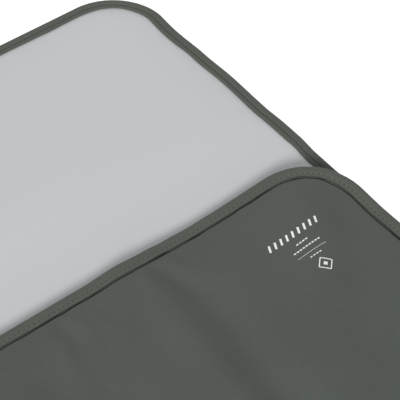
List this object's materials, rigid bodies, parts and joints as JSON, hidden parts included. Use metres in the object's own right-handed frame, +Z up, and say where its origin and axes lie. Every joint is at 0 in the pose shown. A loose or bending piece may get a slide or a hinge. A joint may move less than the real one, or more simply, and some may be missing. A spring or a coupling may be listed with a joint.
{
  "type": "changing mat",
  "caption": "Thin padded travel changing mat with a bound edge and round corners, one end folded over on its wipe-clean lining.",
  "frame": {"origin": "centre of the footprint of the mat as it lies with its flap folded over, on the surface that it rests on", "axes": "+Z up through the mat's thickness, +Y along its length towards the end that lies open, +X towards its right-hand edge seen from the folded end"},
  "size_m": [0.45, 0.4564, 0.0259],
  "materials": {
    "outer_fabric": "olive grey-green fine twill, matt, on the outside",
    "wadding": "white polyester wadding",
    "lining": "pale grey coated wipe-clean fabric, soft sheen",
    "binding": "olive woven binding tape, folded over the edge",
    "thread": "olive sewing thread"
  },
  "bodies": {
    "middle_panel": {"middle_cover": "outer_fabric", "middle_wadding": "wadding", "middle_lining": "lining", "middle_binding_left": "binding", "middle_binding_right": "binding", "middle_seam_left_upper": "thread", "middle_seam_left_lower": "thread", "middle_seam_right_upper": "thread", "middle_seam_right_lower": "thread"},
    "flap_fold_strip_1": {"flap_fold_1_cover": "outer_fabric", "flap_fold_1_wadding": "wadding", "flap_fold_1_lining": "lining", "flap_fold_1_binding_left": "binding", "flap_fold_1_binding_right": "binding"},
    "flap_fold_strip_2": {"flap_fold_2_cover": "outer_fabric", "flap_fold_2_wadding": "wadding", "flap_fold_2_lining": "lining", "flap_fold_2_binding_left": "binding", "flap_fold_2_binding_right": "binding"},
    "flap_fold_strip_3": {"flap_fold_3_cover": "outer_fabric", "flap_fold_3_wadding": "wadding", "flap_fold_3_lining": "lining", "flap_fold_3_binding_left": "binding", "flap_fold_3_binding_right": "binding"},
    "flap_fold_strip_4": {"flap_fold_4_cover": "outer_fabric", "flap_fold_4_wadding": "wadding", "flap_fold_4_lining": "lining", "flap_fold_4_binding_left": "binding", "flap_fold_4_binding_right": "binding"},
    "far_fold_strip_1": {"far_fold_1_cover": "outer_fabric", "far_fold_1_wadding": "wadding", "far_fold_1_lining": "lining", "far_fold_1_binding_left": "binding", "far_fold_1_binding_right": "binding"},
    "far_fold_strip_2": {"far_fold_2_cover": "outer_fabric", "far_fold_2_wadding": "wadding", "far_fold_2_lining": "lining", "far_fold_2_binding_left": "binding", "far_fold_2_binding_right": "binding"},
    "far_fold_strip_3": {"far_fold_3_cover": "outer_fabric", "far_fold_3_wadding": "wadding", "far_fold_3_lining": "lining", "far_fold_3_binding_left": "binding", "far_fold_3_binding_right": "binding"},
    "flap_panel": {"flap_cover": "outer_fabric", "flap_wadding": "wadding", "flap_lining": "lining", "flap_binding": "binding", "flap_seam_upper": "thread", "flap_seam_lower": "thread"},
    "far_panel": {"far_cover": "outer_fabric", "far_wadding": "wadding", "far_lining": "lining", "far_binding": "binding", "far_seam_upper": "thread", "far_seam_lower": "thread"}
  },
  "joints": [
    {"name": "flap_fold_hinge_1", "type": "hinge", "parent": "middle_panel", "child": "flap_fold_strip_1", "pos_m": [0, -0.21888, 0], "axis": [1, 0, 0], "range_deg": [0, 36.24]},
    {"name": "flap_fold_hinge_2", "type": "hinge", "parent": "flap_fold_strip_1", "child": "flap_fold_strip_2", "pos_m": [0, -0.2257, 0.005], "axis": [1, 0, 0], "range_deg": [0, 36.24]},
    {"name": "flap_fold_hinge_3", "type": "hinge", "parent": "flap_fold_strip_2", "child": "flap_fold_strip_3", "pos_m": [0, -0.22824, 0.01305], "axis": [1, 0, 0], "range_deg": [0, 36.24]},
    {"name": "flap_fold_hinge_4", "type": "hinge", "parent": "flap_fold_strip_3", "child": "flap_fold_strip_4", "pos_m": [0, -0.22553, 0.02106], "axis": [1, 0, 0], "range_deg": [0, 36.24]},
    {"name": "flap_fold_hinge_5", "type": "hinge", "parent": "flap_fold_strip_4", "child": "flap_panel", "pos_m": [0, -0.21861, 0.02591], "axis": [1, 0, 0], "range_deg": [0, 36.24]},
    {"name": "far_fold_hinge_1", "type": "hinge", "parent": "middle_panel", "child": "far_fold_strip_1", "pos_m": [0, 0.03004, 0], "axis": [1, 0, 0], "range_deg": [0, 43.75]},
    {"name": "far_fold_hinge_2", "type": "hinge", "parent": "far_fold_strip_1", "child": "far_fold_strip_2", "pos_m": [0, 0.04114, 0], "axis": [1, 0, 0], "range_deg": [0, 43.75]},
    {"name": "far_fold_hinge_3", "type": "hinge", "parent": "far_fold_strip_2", "child": "far_fold_strip_3", "pos_m": [0, 0.05224, 0], "axis": [1, 0, 0], "range_deg": [0, 43.75]},
    {"name": "far_fold_hinge_4", "type": "hinge", "parent": "far_fold_strip_3", "child": "far_panel", "pos_m": [0, 0.06334, 0], "axis": [1, 0, 0], "range_deg": [0, 43.75]}
  ],
  "couplings": [
    {"joint": "flap_fold_hinge_2", "follows": "flap_fold_hinge_1", "ratio": 1},
    {"joint": "flap_fold_hinge_3", "follows": "flap_fold_hinge_1", "ratio": 1},
    {"joint": "flap_fold_hinge_4", "follows": "flap_fold_hinge_1", "ratio": 1},
    {"joint": "flap_fold_hinge_5", "follows": "flap_fold_hinge_1", "ratio": 1},
    {"joint": "far_fold_hinge_2", "follows": "far_fold_hinge_1", "ratio": 1},
    {"joint": "far_fold_hinge_3", "follows": "far_fold_hinge_1", "ratio": 1},
    {"joint": "far_fold_hinge_4", "follows": "far_fold_hinge_1", "ratio": 1}
  ]
}
